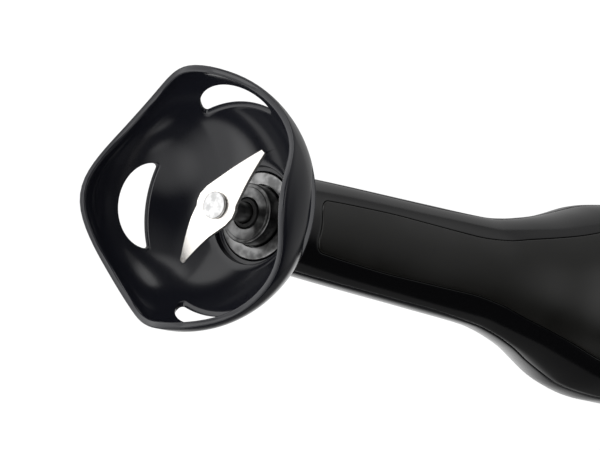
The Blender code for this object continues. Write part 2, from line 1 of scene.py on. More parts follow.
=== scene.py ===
"""Looks of the immersion blender: fine meshes, materials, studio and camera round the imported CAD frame."""
import json
from math import acos, asin, atan2, cos, hypot, pi, radians, sin, tau

import bmesh
import bpy
from mathutils import Matrix, Vector


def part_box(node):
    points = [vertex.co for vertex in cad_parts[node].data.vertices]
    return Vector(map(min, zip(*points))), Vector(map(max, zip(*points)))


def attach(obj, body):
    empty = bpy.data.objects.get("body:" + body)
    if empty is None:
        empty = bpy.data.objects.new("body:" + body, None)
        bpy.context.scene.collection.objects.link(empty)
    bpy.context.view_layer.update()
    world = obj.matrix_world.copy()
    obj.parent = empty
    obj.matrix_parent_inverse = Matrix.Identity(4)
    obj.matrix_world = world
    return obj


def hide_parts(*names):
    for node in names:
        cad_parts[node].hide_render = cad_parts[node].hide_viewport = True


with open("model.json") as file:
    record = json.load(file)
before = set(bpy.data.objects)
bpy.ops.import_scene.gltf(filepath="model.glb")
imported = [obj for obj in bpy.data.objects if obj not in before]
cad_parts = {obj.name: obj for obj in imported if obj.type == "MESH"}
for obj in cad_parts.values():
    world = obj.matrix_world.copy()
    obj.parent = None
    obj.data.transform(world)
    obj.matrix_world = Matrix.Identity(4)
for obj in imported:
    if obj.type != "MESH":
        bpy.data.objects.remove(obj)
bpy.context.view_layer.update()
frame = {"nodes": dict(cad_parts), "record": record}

# Guard. Depths run along the drive axis from the rim's mean plane towards the handle.
RIM_WAVE = 0.0041
RIM_WAVE_SHARP = 0.0004
RIM_RADIUS = 0.0354
GUARD_WALL = 0.0013
RIM_WALL = 0.0019
RIM_BEAD = 0.0035
BEAD_CURVE = 1.5
DOME_DEPTH = 0.0318
DOME_FULLNESS = 1.9
RIM_FILLET = 0.0006
SLOT_HALF_WIDTH = 0.0119
SLOT_DEPTH = 0.0077
SLOT_HUB_EDGE = 0.0164
SLOT_CORNER = 0.0011
SLOT_FILLET = 0.0003
RECESS_RADIUS = 0.0143
RECESS_SHELF = 0.0006
RECESS_FLOOR = 0.0311
RING_SEAT = 0.0295
RING_SEAT_RADIUS = 0.0125
HUB_RADIUS = 0.0142
HUB_END = 0.0332
SPIGOT_RADIUS = 0.0086
SPIGOT_BORE = 0.0064
SPIGOT_END = 0.050

# Blade and shaft
SHAFT_RADIUS = 0.0028
BLADE_PLANE = 0.01135
BLADE_THICKNESS = 0.0012
BLADE_ANGLE = radians(37.5)
WING_LENGTH = 0.0194
WING_LIFT = 0.0026
WING_START = 0.0070
WING_FOLDS = 6
WING_CURVE = 1.5
GRIND_WIDTH = 0.0011
BLADE_EDGE = 0.0003
SOFT_EDGE = 0.0001

# Casing
SHELL_START = 0.0336
SHELL_END = 0.352
SHELL_WALL = 0.0026
PARTING_GAP = 0.0006
SHELL_FILLET = 0.00035
PANEL_START = 0.0435
PANEL_END = 0.338
PANEL_THICKNESS = 0.0012
PANEL_CORNER = 0.004
PANEL_FILLET = 0.0006
PANEL_PROUD = 0.0002
PANEL_GROW = 0.00018
GROOVE_FILLET = 0.0002
GAP = 0.0003
CAP_RISE = 0.0182
CAP_SHOULDER = 0.0085
CAP_TURN = radians(77.4)
CAP_WALL = 0.0022
SPINDLE_HOLE = 0.0034
GLAND_HOLE = 0.0058
SCREW_DEPTHS = (0.306, 0.336)
SCREW_SIDE = 0.009
SCREW_SINK = 0.0075
WELL_RADIUS = 0.0048
SCREW_HEAD_RADIUS = 0.0034
SCREW_HOLE_RADIUS = 0.0019
WELL_TOP = 0.001
CUT_PAST = 0.002
VENTS = 4
VENT_START = 0.3155
VENT_PITCH = 0.0035
VENT_WIDTH = 0.0016
VENT_LENGTH = 0.014
VENT_CUT = (-0.003, 0.0075)

# Buttons as (name, depth along the axis, length, width), and the speed dial
BUTTONS = [("power_button", 0.262, 0.019, 0.015), ("turbo_button", 0.288, 0.015, 0.013)]
BUTTON_FOOT = 0.0243
BUTTON_RISE = 0.0016
BUTTON_CORNER = 0.0005
BUTTON_GAP = 0.0004
OPENING_LOW = 0.020
OPENING_HIGH = 0.036
FLANGE_REACH = 0.001
FLANGE_THICKNESS = 0.0012
CROWN_FILLET = 0.0010
DISH = 0.0004
DISH_REACH = 0.004
BAR_PITCH = 0.0019
BAR_WIDTH = 0.0007
BAR_LENGTH_SHARE = 0.42
BAR_CORNER = 0.0003
BAR_ROOT = 0.0015
BAR_SINK = 0.00005
DIAL_BACK = 0.3708
DIAL_END = 0.379
DIAL_HEIGHT = 0.004
FLUTE_DEPTH = 0.0007
POINTER_SIZE = (0.0004, 0.0011, 0.0052)
POINTER_SINK = 0.00035
POINTER_RADIUS = 0.0060
MARKS = 7
MARK_TURN = radians(45)
MARK_THICKNESS = 0.0002
MARK_WIDTH = 0.0005
MARK_RADIUS = 0.0138
MARK_LENGTH = 0.0012
MARK_GROWTH = 0.00012
GLAND_DROP = 0.0152

# Half-width, front height and back depth of the body at stations along the axis
HALF_WIDTH = [(0.033, 0.0133), (0.060, 0.0144), (0.107, 0.0158), (0.139, 0.0169), (0.150, 0.0182),
              (0.163, 0.0206), (0.175, 0.0233), (0.187, 0.0267), (0.200, 0.0305), (0.215, 0.0323),
              (0.240, 0.0323), (0.290, 0.0306), (0.352, 0.0268)]
FRONT_HEIGHT = [(0.033, 0.0123), (0.060, 0.0116), (0.107, 0.0116), (0.139, 0.0130), (0.150, 0.0145),
                (0.163, 0.0173), (0.175, 0.0200), (0.187, 0.0241), (0.200, 0.0284), (0.215, 0.0301),
                (0.290, 0.0301), (0.352, 0.0256)]
BACK_DEPTH = [(0.033, 0.0141), (0.060, 0.0155), (0.107, 0.0166), (0.139, 0.0173), (0.150, 0.0178),
              (0.163, 0.0194), (0.175, 0.0222), (0.187, 0.0258), (0.200, 0.0290), (0.215, 0.0320),
              (0.235, 0.0350), (0.250, 0.0364), (0.290, 0.0364), (0.352, 0.0286)]
SQUARENESS = [(0.033, 2.0), (0.140, 2.0), (0.200, 2.25), (0.352, 2.4)]
PANEL_HALF_WIDTH = [(0.044, 0.0070), (0.060, 0.0078), (0.085, 0.0085), (0.122, 0.0085), (0.139, 0.0097),
                    (0.150, 0.0117), (0.163, 0.0142), (0.175, 0.0168), (0.190, 0.0209), (0.215, 0.0248),
                    (0.260, 0.0256), (0.310, 0.0228), (0.338, 0.0180)]

# Angle of the parting line above the body's middle plane, in degrees: it swoops down round the shoulder
PARTING = [(0.033, 13.8), (0.107, 13.7), (0.139, 8.2), (0.150, 5.6), (0.163, 1.0), (0.178, -6.0),
           (0.190, -5.0), (0.200, 4.0), (0.215, 15.0), (0.230, 18.0)]

# Meshes: points closer than this are welded, and edges that bend more than this stay sharp
WELD = 0.000002
SHARP_BEND = radians(35)

# Where the drive axis runs in the frame
GUARD_LOW, GUARD_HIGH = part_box("guard")
RIM_X = GUARD_LOW[0] + RIM_WAVE + RIM_WAVE_SHARP
AXIS_Z = (GUARD_LOW[2] + GUARD_HIGH[2]) / 2


# Geometry helpers
def at(t, y, z):
    """World place of a point given by its depth along the drive axis and its offsets from that axis."""
    return Vector((RIM_X + t, y, AXIS_Z + z))


def smooth(points, t):
    """Value at t of the smooth curve through the points, level beyond its ends."""
    if t <= points[0][0]:
        return points[0][1]
    if t >= points[-1][0]:
        return points[-1][1]
    i = max(k for k in range(len(points) - 1) if points[k][0] <= t)
    slopes = [(b[1] - a[1]) / (b[0] - a[0]) for a, b in zip(points, points[1:])]

    def tangent(k):
        if k in (0, len(points) - 1):
            return slopes[min(k, len(slopes) - 1)]
        before, after = slopes[k - 1], slopes[k]
        return 0 if before * after <= 0 else 2 * before * after / (before + after)

    span = points[i + 1][0] - points[i][0]
    u = (t - points[i][0]) / span
    start = (2 * u**3 - 3 * u**2 + 1) * points[i][1] + (u**3 - 2 * u**2 + u) * span * tangent(i)
    end = (3 * u**2 - 2 * u**3) * points[i + 1][1] + (u**3 - u**2) * span * tangent(i + 1)
    return start + end


def mix(a, b, share):
    """The point that lies a share of the way from a to b."""
    return tuple(x + (y - x) * share for x, y in zip(a, b))


def quads(bm, rows, closed=False):
    """Faces between neighbouring rows of points. Points that meet are welded later."""
    grid = [[bm.verts.new(point) for point in row] for row in rows]
    for low, high in zip(grid, grid[1:]):
        for j in range(len(low) if closed else len(low) - 1):
            k = (j + 1) % len(low)
            bm.faces.new((low[j], low[k], high[k], high[j]))


def stack(bm, rows):
    """Closed solid whose sides join rows of points, and whose first and last rows are its ends."""
    quads(bm, rows, closed=True)
    for row in (rows[0], rows[-1]):
        bm.faces.new([bm.verts.new(point) for point in row])


def border(grid):
    """The border of a grid of points, once round."""
    last = len(grid[0]) - 1
    right = [row[last] for row in grid[1:-1]]
    left = [row[0] for row in reversed(grid[1:-1])]
    return grid[0] + right + grid[-1][::-1] + left


def make_object(bm, name, sharp=SHARP_BEND):
    """Welds what bmesh holds, turns its faces outwards and makes it an object."""
    bmesh.ops.remove_doubles(bm, verts=bm.verts, dist=WELD)
    bmesh.ops.recalc_face_normals(bm, faces=bm.faces)
    mesh = bpy.data.meshes.new(name)
    bm.to_mesh(mesh)
    bm.free()
    mesh.shade_smooth()
    mesh.set_sharp_from_angle(angle=sharp)
    obj = bpy.data.objects.new(name, mesh)
    bpy.context.scene.collection.objects.link(obj)
    return obj


def piece(obj, look, nodes, body="housing"):
    """Gives a piece its material, which carries its slot, and its body, and hides the CAD nodes that it
    stands for.
    """
    obj.data.materials.clear()
    obj.data.materials.append(look)
    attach(obj, body)
    if nodes:
        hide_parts(*nodes)


def rounded(profile):
    """Rounds the corners of an outline. Each corner is (x, y, radius), and radius 0 keeps it sharp."""
    points = []
    steps = 4
    tiny, almost_half = 0.001, 0.49
    for index, (x, y, radius) in enumerate(profile):
        before, after = profile[index - 1], profile[(index + 1) % len(profile)]
        corner = Vector((x, y))
        back, ahead = Vector(before[:2]) - corner, Vector(after[:2]) - corner
        if radius <= 0:
            points.append((x, y))
            continue
        turn = back.angle(ahead)
        slope = max(sin(turn / 2) / max(cos(turn / 2), tiny), tiny)
        reach = min(radius / slope, back.length * almost_half, ahead.length * almost_half)
        first, last = corner + back.normalized() * reach, corner + ahead.normalized() * reach
        for step in range(steps + 1):
            u = step / steps
            point = first * (1 - u) ** 2 + corner * 2 * u * (1 - u) + last * u**2
            points.append((point.x, point.y))
    return points


def turned(bm, profile, z=0.0, steps=96):
    """Turns a closed outline of (depth, radius) points about a line z above the drive axis."""
    closed = profile + profile[:1]
    rows = [[at(t, r * cos(tau * j / steps), z + r * sin(tau * j / steps)) for j in range(steps)]
            for t, r in closed]
    quads(bm, rows, closed=True)


def turned_piece(name, profile, look, nodes, body="housing", **options):
    """A turned piece with rounded corners. options are those of turned."""
    bm = bmesh.new()
    turned(bm, rounded(profile), **options)
    piece(make_object(bm, name), look, nodes, body)


def prism(outline, low, high):
    """A closed upright block on an outline of (x, y) points."""
    bm = bmesh.new()
    stack(bm, [[(x, y, height) for x, y in outline] for height in (low, high)])
    return bm


def rounded_rectangle(x, y, length, width, radius, steps=8):
    """Outline of a rectangle with arcs for corners, round a centre."""
    points = []
    for quarter, (along, across) in enumerate([(1, 1), (-1, 1), (-1, -1), (1, -1)]):
        for step in range(steps + 1):
            angle = (quarter + step / steps) * pi / 2
            points.append((x + along * (length / 2 - radius) + radius * cos(angle),
                           y + across * (width / 2 - radius) + radius * sin(angle)))
    return points


def upright(name, t, y, profile):
    """A solid turned about a vertical line, from (height, radius) pairs."""
    bm = bmesh.new()
    steps = 40
    stack(bm, [[(RIM_X + t + r * cos(tau * j / steps), y + r * sin(tau * j / steps), height)
                for j in range(steps)] for height, r in profile])
    return make_object(bm, name)


def combine(obj, operation, tools):
    """Joins the tools to the object's mesh, or cuts it with them, and removes them."""
    for tool in tools:
        modifier = obj.modifiers.new(operation, "BOOLEAN")
        modifier.object = tool
        modifier.operation = operation
    graph = bpy.context.evaluated_depsgraph_get()
    mesh = bpy.data.meshes.new_from_object(obj.evaluated_get(graph))
    obj.modifiers.clear()
    old = obj.data
    obj.data = mesh
    mesh.name = old.name
    bpy.data.meshes.remove(old)
    for tool in tools:
        bpy.data.objects.remove(tool)
    obj.data.set_sharp_from_angle(angle=SHARP_BEND)
    return obj


# Casing surface
def section_point(t, angle, depth=0.0):
    """Point of the casing's skin at an angle from +Y towards +Z, at a depth below it, level on the floor."""
    half = smooth(HALF_WIDTH, t) - depth
    height = smooth(FRONT_HEIGHT if sin(angle) >= 0 else BACK_DEPTH, t) - depth
    power = smooth(SQUARENESS, t)
    radius = (abs(cos(angle) / half) ** power + abs(sin(angle) / height) ** power) ** (-1 / power)
    return at(t, radius * cos(angle), max(radius * sin(angle), depth - AXIS_Z))


def front_angle(t, y):
    """Angle of the front skin's point that lies y to the side."""
    half, height, power = smooth(HALF_WIDTH, t), smooth(FRONT_HEIGHT, t), smooth(SQUARENESS, t)
    return atan2(height * (1 - (abs(y) / half) ** power) ** (1 / power), y)


def spread(start, end, count):
    """Evenly spaced values from start to end, with count steps between them."""
    return [start + (end - start) * step / count for step in range(count + 1)]


def panel_grid(grow):
    """(depth along axis, angle) of a grid over the front panel, whose ends have rounded corners."""
    rows, columns, corner_steps = 76, 20, 6
    start, end = PANEL_START - grow, PANEL_END + grow
    corner = PANEL_CORNER + grow
    arc = [corner * (1 - cos(radians(90 / corner_steps * step))) for step in range(corner_steps + 1)]
    places = [start + a for a in arc] + spread(start + corner, end - corner, rows)[1:-1]
    places += [end - a for a in reversed(arc)]
    grid = []
    for t in places:
        from_end = min(t - start, end - t, corner)
        pulled_in = corner - (corner**2 - (corner - from_end) ** 2) ** 0.5
        half = smooth(PANEL_HALF_WIDTH, t) + grow - pulled_in
        grid.append([(t, front_angle(t, half * (2 * j / columns - 1))) for j in range(columns + 1)])
    return grid


def shell_grid(front, pull, rows, columns):
    """(depth along axis, angle) of a grid over the front or back half, held back from its edge by pull."""
    grid = []
    for t in spread(SHELL_START + pull, SHELL_END - pull, rows):
        parting = radians(smooth(PARTING, t))
        hold = (PARTING_GAP / 2 + pull) / smooth(HALF_WIDTH, t)
        low, high = (parting, pi - parting) if front else (pi - parting, tau + parting)
        grid.append([(t, angle) for angle in spread(high - hold, low + hold, columns)])
    return grid


def fillet(radius, steps=4):
    """(pull, depth) pairs round a quarter circle, from flat on the skin to straight down."""
    return [(radius * (1 - sin(pi / 2 * step / steps)), radius * (1 - cos(pi / 2 * step / steps)))
            for step in range(steps + 1)]


def skin_points(grid, depth):
    """The grid's points at a depth below the skin."""
    return [[section_point(t, angle, depth) for t, angle in row] for row in grid]


def loop_points(loop, depth):
    """The loop's points at a depth below the skin."""
    return [section_point(t, angle, depth) for t, angle in loop]


def make_front_shell():
    """Front half of the casing, with a recess for the panel and a rounded edge all round."""
    bm = bmesh.new()
    recess = PANEL_THICKNESS + GAP
    floor = panel_grid(GAP)
    rows, columns = len(floor) - 1, len(floor[0]) - 1
    edge = [border(shell_grid(True, pull, rows, columns)) for pull, _ in fillet(SHELL_FILLET)]
    loops = [loop_points(border(floor), recess)]
    for pull, depth in reversed(fillet(GROOVE_FILLET)):
        loops.append(loop_points(border(panel_grid(GAP + pull)), depth))
    inner = border(panel_grid(GAP + GROOVE_FILLET))
    bands = 9
    between = [[mix(a, b, share / bands) for a, b in zip(inner, edge[0])] for share in range(1, bands)]
    loops += [loop_points(loop, 0) for loop in between]
    loops += [loop_points(loop, depth) for loop, (_, depth) in zip(edge, fillet(SHELL_FILLET))]
    loops.append(loop_points(edge[-1], SHELL_WALL))
    loops += [loop_points(loop, SHELL_WALL) for loop in reversed(between)]
    loops.append(loop_points(border(floor), SHELL_WALL))
    quads(bm, skin_points(floor, recess))
    quads(bm, loops, closed=True)
    quads(bm, skin_points(floor, SHELL_WALL))
    return combine(make_object(bm, "front_casing"), "DIFFERENCE", button_openings())


def make_rear_shell():
    """Back half of the casing, with its screw wells and cooling slots."""
    bm = bmesh.new()
    rows, columns = 90, 56
    grid = shell_grid(False, SHELL_FILLET, rows, columns)
    loops = []
    for pull, depth in fillet(SHELL_FILLET):
        loops.append(loop_points(border(shell_grid(False, pull, rows, columns)), depth))
    edge = shell_grid(False, 0, rows, columns)
    loops.append(loop_points(border(edge), SHELL_WALL))
    quads(bm, skin_points(grid, 0))
    quads(bm, loops, closed=True)
    quads(bm, skin_points(edge, SHELL_WALL))
    casing = make_object(bm, "rear_casing")
    wells, holes, slots = [], [], []
    for t in SCREW_DEPTHS:
        for y in (SCREW_SIDE, -SCREW_SIDE):
            back = AXIS_Z - smooth(BACK_DEPTH, t)
            seat = back + SCREW_SINK
            far_side = (SCREW_SIDE + WELL_RADIUS) / smooth(HALF_WIDTH, t)
            power = smooth(SQUARENESS, t)
            skin = AXIS_Z - smooth(BACK_DEPTH, t) * (1 - far_side**power) ** (1 / power)
            foot = skin + SHELL_WALL / 2
            wells.append(upright("well", t, y, [(foot, WELL_RADIUS), (AXIS_Z + WELL_TOP, WELL_RADIUS)]))
            profile = [(back - CUT_PAST, SCREW_HEAD_RADIUS), (seat, SCREW_HEAD_RADIUS),
                       (seat, SCREW_HOLE_RADIUS), (AXIS_Z + CUT_PAST, SCREW_HOLE_RADIUS)]
            holes.append(upright("hole", t, y, profile))
    for index in range(VENTS):
        t = VENT_START + index * VENT_PITCH
        outline = rounded_rectangle(RIM_X + t, 0, VENT_WIDTH, VENT_LENGTH, VENT_WIDTH / 2 - 0.0001)
        slots.append(make_object(prism(outline, *VENT_CUT), "slot"))
    combine(casing, "UNION", wells)
    return combine(casing, "DIFFERENCE", holes + slots)


def make_panel():
    """Satin inlay with a soft edge, set in the front shell and a little proud of it."""
    bm = bmesh.new()
    full = panel_grid(PANEL_GROW)
    top = panel_grid(PANEL_GROW - PANEL_FILLET)
    loops = [loop_points(border(panel_grid(PANEL_GROW - pull)), depth - PANEL_PROUD)
             for pull, depth in fillet(PANEL_FILLET)]
    loops.append(loop_points(border(full), PANEL_THICKNESS))
    quads(bm, skin_points(top, -PANEL_PROUD))
    quads(bm, loops, closed=True)
    quads(bm, skin_points(full, PANEL_THICKNESS))
    return combine(make_object(bm, "satin_panel"), "DIFFERENCE", button_openings())


def make_end_cap():
    """Closed rounded end with its openings for the dial's spindle and the cord gland."""
    bm = bmesh.new()
    steps, columns = 24, 128
    surfaces = []
    for depth in (0, CAP_WALL):
        rings = []
        for angle in spread(0, CAP_TURN, steps):
            inset = CAP_SHOULDER * (1 - cos(angle)) + depth
            t = SHELL_END + GAP + (CAP_RISE - depth) * sin(angle) / sin(CAP_TURN)
            ring = [section_point(SHELL_END, tau * j / columns, inset) for j in range(columns)]
            rings.append([Vector((RIM_X + t, point.y, point.z)) for point in ring])
        surfaces.append(rings)
        bm.faces.new([bm.verts.new(point) for point in rings[-1]])
    outer, inner = surfaces
    quads(bm, inner[::-1] + outer, closed=True)
    cap = make_object(bm, "rounded_end_cap")
    openings = []
    low, high = 0.360, 0.375
    for radius, z in ((SPINDLE_HOLE, DIAL_HEIGHT), (GLAND_HOLE, -GLAND_DROP)):
        hole = bmesh.new()
        turned(hole, [(low, 0), (low, radius), (high, radius), (high, 0)], z=z, steps=48)
        openings.append(make_object(hole, "opening"))
    return combine(cap, "DIFFERENCE", openings)


# Buttons and dial
def button_openings():
    """Cutters for the holes that the buttons stand in."""
    openings = []
    for _, t, length, width in BUTTONS:
        outline = rounded_rectangle(RIM_X + t, 0, length + 2 * BUTTON_GAP, width + 2 * BUTTON_GAP,
                                    width / 2 - BUTTON_CORNER + BUTTON_GAP)
        openings.append(make_object(prism(outline, AXIS_Z + OPENING_LOW, AXIS_Z + OPENING_HIGH), "opening"))
    return openings


def make_button(name, t, length, width):
    """Key with a rounded crown, slightly dished, three raised grip bars and a hidden flange."""
    bm = bmesh.new()
    crown = AXIS_Z + smooth(FRONT_HEIGHT, t) + BUTTON_RISE
    foot = AXIS_Z + BUTTON_FOOT
    ledge = foot + FLANGE_THICKNESS
    levels = [(-FLANGE_REACH, foot), (-FLANGE_REACH, ledge), (0, ledge)]
    levels += [(pull, crown - depth) for pull, depth in reversed(fillet(CROWN_FILLET, 6))]
    for pull in (0.001, 0.002, 0.0035):
        levels.append((CROWN_FILLET + pull, crown - DISH * (1 - (1 - pull / DISH_REACH) ** 2)))
    rows = []
    for inset, height in levels:
        outline = rounded_rectangle(RIM_X + t, 0, length - 2 * inset, width - 2 * inset,
                                    width / 2 - BUTTON_CORNER - inset)
        rows.append([(x, y, height) for x, y in outline])
    stack(bm, rows)
    key = make_object(bm, name + "_key")
    bars = []
    for step in (-1, 0, 1):
        outline = rounded_rectangle(RIM_X + t + step * BAR_PITCH, 0, BAR_WIDTH, width * BAR_LENGTH_SHARE,
                                    BAR_CORNER, 4)
        bars.append(make_object(prism(outline, crown - BAR_ROOT, crown - BAR_SINK), "bar"))
    return combine(key, "UNION", bars)


def make_dial():
    """Knob with a fluted side, a chamfered face and a slot that takes the white pointer."""
    bm = bmesh.new()
    count, flutes = 288, 24
    face = DIAL_END - 0.0002
    outline = [(DIAL_BACK, 0, 0), (DIAL_BACK, 0.0108, 0), (DIAL_BACK + 0.0004, 0.0115, 0),
               (DIAL_BACK + 0.0010, 0.0118, 1), (face - 0.0014, 0.0114, 1), (face - 0.0006, 0.0109, 0.5),
               (face - 0.0002, 0.0104, 0), (face, 0.0097, 0), (face - 0.0003, 0.0090, 0),
               (face - 0.0003, 0, 0)]
    rows = []
    for t, r, fluted in outline:
        row = []
        for turn in (tau * j / count for j in range(count)):
            radius = r - fluted * FLUTE_DEPTH * abs(sin(flutes * turn / 2))
            row.append(at(t, 0, DIAL_HEIGHT) + Vector((0, cos(turn), sin(turn))) * radius)
        rows.append(row)
    quads(bm, rows, closed=True)
    return make_object(bm, "fluted_dial")


def make_pointer():
    """Painted bar on the dial's face."""
    bm = bmesh.new()
    bmesh.ops.create_cube(bm, size=1)
    bmesh.ops.scale(bm, vec=POINTER_SIZE, verts=bm.verts)
    bmesh.ops.bevel(bm, geom=bm.edges[:], offset=0.0001, segments=2, affect="EDGES")
    bmesh.ops.translate(bm, vec=at(DIAL_END - POINTER_SINK, 0, DIAL_HEIGHT + POINTER_RADIUS), verts=bm.verts)
    return make_object(bm, "dial_pointer")


def make_dial_marks():
    """Seven painted marks round the dial, over three quarters of a turn."""
    bm = bmesh.new()
    for step in range(MARKS):
        mark = bmesh.ops.create_cube(bm, size=1)["verts"]
        size = (MARK_THICKNESS, MARK_WIDTH, MARK_LENGTH + MARK_GROWTH * step)
        bmesh.ops.scale(bm, vec=size, verts=mark)
        bmesh.ops.translate(bm, vec=(0, 0, MARK_RADIUS), verts=mark)
        bmesh.ops.rotate(bm, verts=mark, matrix=Matrix.Rotation(MARK_TURN * step, 3, "X"))
        face = SHELL_END + GAP + CAP_RISE + MARK_THICKNESS / 2
        bmesh.ops.translate(bm, vec=at(face, 0, DIAL_HEIGHT), verts=mark)
    return make_object(bm, "dial_marks")


# Guard
def dome_point(turn, lean, inset):
    """Point of the guard's wall, inset from its outside. lean is 0 at the mean rim and grows to the axis."""
    depth, radius = DOME_DEPTH - inset, RIM_RADIUS - inset
    power = 2 / DOME_FULLNESS
    t, r = (depth * sin(lean) ** power, radius * cos(lean) ** power) if lean >= 0 else (depth * lean, radius)
    return at(t, r * cos(turn), r * sin(turn))


def lean_at(t, inset):
    """Lean of the wall's point at a depth t."""
    depth = DOME_DEPTH - inset
    return asin((t / depth) ** (DOME_FULLNESS / 2)) if t >= 0 else t / depth


def lean_where(radius, inset):
    """Lean of the wall's point at a radius."""
    return acos((radius / (RIM_RADIUS - inset)) ** (DOME_FULLNESS / 2))


def rim_depth(turn):
    """Depth of the scalloped rim, four waves round the mouth."""
    return -RIM_WAVE * cos(4 * turn) - RIM_WAVE_SHARP * cos(8 * turn)


def slot_outline(grow, along, beside):
    """(t, y) round one half-moon slot, enlarged by grow, from its rim side round to its hub side."""
    width, depth = SLOT_HALF_WIDTH - SLOT_CORNER, SLOT_DEPTH - 2 * SLOT_CORNER
    base = SLOT_HUB_EDGE - SLOT_CORNER
    corner_steps = beside // 2
    flank_steps = beside - corner_steps

    def arch(angle):
        return (base + depth * sin(angle), width * cos(angle), depth * cos(angle), width * sin(angle))

    rim_side = [arch(radians(90 * step / along - 135)) for step in range(along)]
    right = [arch(radians(45 * step / flank_steps - 45)) for step in range(flank_steps)]
    right += [(base, width, cos(angle), sin(angle))
              for angle in (radians(90 * step / corner_steps) for step in range(corner_steps))]
    hub_side = [(base, width * (1 - 2 * step / along), 0, 1) for step in range(along + 1)]
    left = [(t, -y, -ny, nt) for t, y, ny, nt in right]
    reach = SLOT_CORNER + grow
    loop = []
    for t, y, ny, nt in rim_side + right + hub_side + left[:0:-1]:
        size = hypot(ny, nt)
        loop.append((t + reach * nt / size, y + reach * ny / size))
    return loop


def slot_loop(grow, inset, along, beside):
    """(turn, lean) round one slot, which is cut square to the drive axis through the wall."""
    loop = []
    for t, y in slot_outline(grow, along, beside):
        lean = lean_at(t, inset)
        radius = (RIM_RADIUS - inset) * cos(lean) ** (2 / DOME_FULLNESS)
        loop.append((asin(y / radius), lean))
    return loop


def sector_border(hold, hub_lean, inset, along, beside):
    """(turn, lean) round a quarter of the guard's wall, held back from the rim."""
    quarter = radians(45)
    rim = [(turn, lean_at(rim_depth(turn) + hold, inset)) for turn in spread(-quarter, quarter, along)[:-1]]
    corner = lean_at(rim_depth(quarter) + hold, inset)
    right = [(quarter, lean) for lean in spread(corner, hub_lean, beside)[:-1]]
    hub = [(turn, hub_lean) for turn in spread(quarter, -quarter, along)[:-1]]
    left = [(-quarter, lean) for lean in spread(hub_lean, corner, beside)[:-1]]
    return rim + right + hub + left


def through_wall(radius, wall):
    """(pull, inset) pairs from the outside to the inside of the guard's wall, both edges rounded."""
    outside = fillet(radius)
    return outside + [(pull, wall - depth) for pull, depth in outside[::-1]]


def outside_point(turn, lean):
    """Point of the guard's outside."""
    return dome_point(turn, lean, 0.0)


def inside_point(turn, lean):
    """Point of the guard's inside, which swells to a bead along the rim."""
    t = dome_point(turn, lean, GUARD_WALL).x - RIM_X
    near_rim = max(0.0, 1 - (t - rim_depth(turn) - RIM_FILLET) / RIM_BEAD)
    inset = GUARD_WALL + (RIM_WALL - GUARD_WALL) * near_rim**BEAD_CURVE
    return dome_point(turn, lean_at(t, inset), inset)


def make_guard():
    """Dome with a scalloped rim, four half-moon slots, a hub and a spigot, as one closed mesh."""
    bm = bmesh.new()
    along, beside, bands = 24, 14, 12
    crowding = 1.3
    faces = [(outside_point, 0.0, lean_where(HUB_RADIUS, 0.0)),
             (inside_point, GUARD_WALL, lean_where(RECESS_RADIUS, GUARD_WALL))]
    for quarter in range(4):
        base = quarter * pi / 2
        for point, inset, hub_lean in faces:
            outside = sector_border(RIM_FILLET, hub_lean, inset, along, beside)
            hole = slot_loop(SLOT_FILLET, inset, along, beside)
            sheet = [[mix(a, b, (share / bands) ** crowding) for a, b in zip(hole, outside)]
                     for share in range(bands + 1)]
            quads(bm, [[point(base + turn, lean) for turn, lean in loop] for loop in sheet], closed=True)
        lip = [[dome_point(base + turn, lean, inset) for turn, lean in slot_loop(pull, inset, along, beside)]
               for pull, inset in through_wall(SLOT_FILLET, GUARD_WALL)]
        quads(bm, lip, closed=True)
        turns = spread(-pi / 4, pi / 4, along)
        rim = [[dome_point(base + turn, lean_at(rim_depth(turn) + pull, inset), inset) for turn in turns]
               for pull, inset in through_wall(RIM_FILLET, RIM_WALL)]
        quads(bm, rim)
    outer, inner = (point(0, hub_lean) - at(0, 0, 0) for point, _, hub_lean in faces)
    shelf = inner.y - RECESS_SHELF
    hub = [(outer.x, outer.y, 0), (HUB_END, HUB_RADIUS, 0.0008), (HUB_END, SPIGOT_RADIUS, 0.0006),
           (SPIGOT_END, SPIGOT_RADIUS, 0.0006), (SPIGOT_END, SPIGOT_BORE, 0.0004),
           (RECESS_FLOOR, SPIGOT_BORE, 0.0002), (RECESS_FLOOR, RING_SEAT_RADIUS, 0.0003),
           (RING_SEAT, RING_SEAT_RADIUS, 0.0002), (RING_SEAT, shelf, 0.0002), (inner.x, shelf, 0.0003),
           (inner.x, inner.y, 0)]
    around = [radians(-45) + tau * j / (4 * along) for j in range(4 * along)]
    rings = [[at(t, r * cos(turn), r * sin(turn)) for turn in around] for t, r in rounded(hub)]
    quads(bm, rings, closed=True)
    return make_object(bm, "blade_guard", sharp=radians(50))


# Blade
def blade_outline():
    """Half of the blade's outline, round one wing's tip and its trailing side to the other wing's root."""
    return [(WING_LENGTH, -0.0006), (WING_LENGTH, 0.0008), (0.0075, 0.0045), (0.0041, 0.0053),
            (0.0030, 0.0061), (0.0010, 0.0067), (-0.0019, 0.0063), (-0.0075, 0.0042)]


